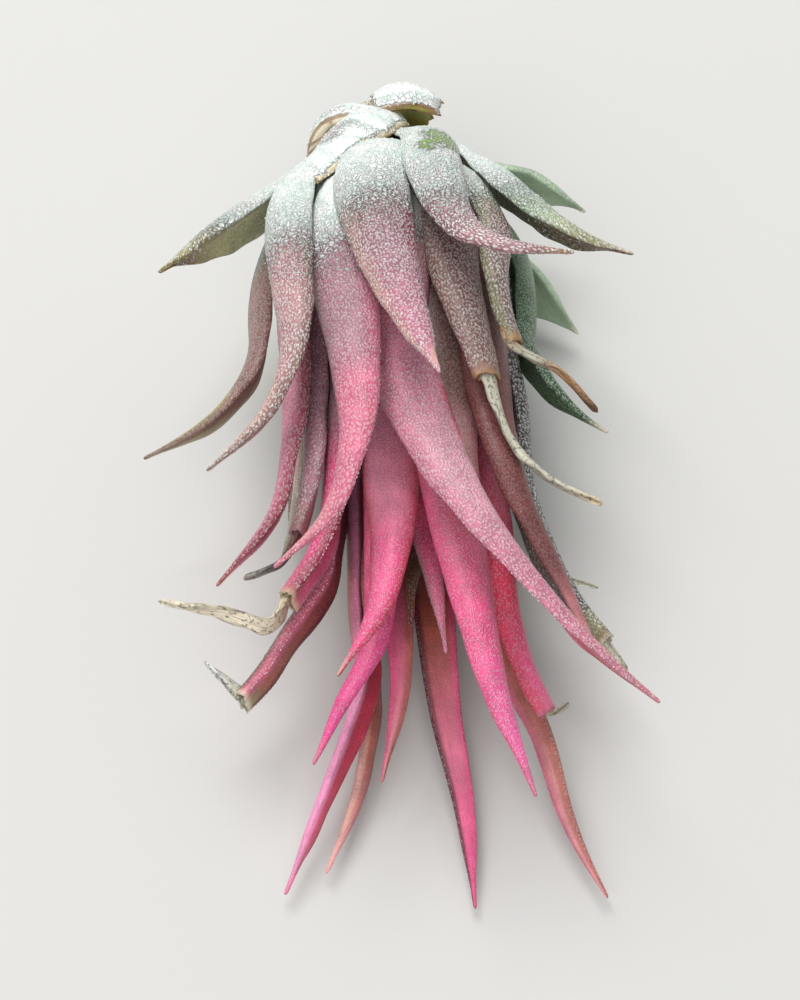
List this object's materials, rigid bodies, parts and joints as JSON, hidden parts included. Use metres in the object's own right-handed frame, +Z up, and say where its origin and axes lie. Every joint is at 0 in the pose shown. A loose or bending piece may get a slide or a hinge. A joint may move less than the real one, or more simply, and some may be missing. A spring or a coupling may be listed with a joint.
{
  "type": "air plant",
  "caption": "Small rosette air plant lying on its side, with thick channelled leaves that flush from green through mauve to pink, dried leaf ends and curled stubs at the cut stem.",
  "frame": {"origin": "centre of the bounding box's base, on the surface that the plant lies on", "axes": "+Z up; +Y along the plant towards the cut end of its stem, so that the leaf tips point to -Y; +X to the right as seen from above with the tips pointing down"},
  "size_m": [0.0282, 0.0534, 0.0208],
  "materials": {
    "scurfy_leaf": "old leaf base under a matt white crust of scales, olive yellow inside",
    "green_leaf": "satin green leaf with white scales, whiter towards its base",
    "grey_leaf": "matt grey-green leaf, dense with pale scales",
    "mauve_leaf": "matt dusty mauve leaf, granular with white scales",
    "pink_leaf": "satin hot pink leaf with rows of fine pale scales",
    "red_leaf": "satin red channelled leaf with beaded edges",
    "stem": "dry brown fibrous stem, ringed by old leaf scars"
  },
  "bodies": {
    "root": {"stem": "stem", "stub_right": "scurfy_leaf", "stub_left": "scurfy_leaf", "stub_curled": "scurfy_leaf", "leaf_right_back": "green_leaf", "leaf_left_high": "green_leaf", "leaf_right_high": "green_leaf", "leaf_right_low": "green_leaf", "leaf_right_dark": "green_leaf", "leaf_under_right": "green_leaf", "leaf_under_left": "green_leaf", "leaf_under_middle": "green_leaf", "leaf_under_side": "green_leaf", "leaf_under_deep": "green_leaf", "leaf_top_hook": "mauve_leaf", "leaf_left_shoulder": "mauve_leaf", "leaf_top_short": "mauve_leaf", "leaf_right_withered": "mauve_leaf", "leaf_left_long": "mauve_leaf", "leaf_left_mauve": "mauve_leaf", "leaf_left_arched": "grey_leaf", "leaf_right_kinked": "grey_leaf", "leaf_right_grey": "grey_leaf", "leaf_left_narrow": "grey_leaf", "leaf_right_spike": "grey_leaf", "leaf_inner_tip": "grey_leaf", "leaf_top_left": "pink_leaf", "leaf_top_long": "pink_leaf", "leaf_left_snapped": "pink_leaf", "leaf_low_left": "pink_leaf", "leaf_front_bright": "pink_leaf", "leaf_front_middle": "pink_leaf", "leaf_front_pink": "pink_leaf", "leaf_inner_right": "pink_leaf", "leaf_low_right": "red_leaf", "leaf_low_brown": "red_leaf", "leaf_right_brown": "red_leaf", "leaf_left_folded": "red_leaf", "leaf_low_front": "red_leaf", "leaf_front_red": "red_leaf", "leaf_left_shaded": "red_leaf", "leaf_inner_low": "red_leaf"}
  },
  "joints": []
}
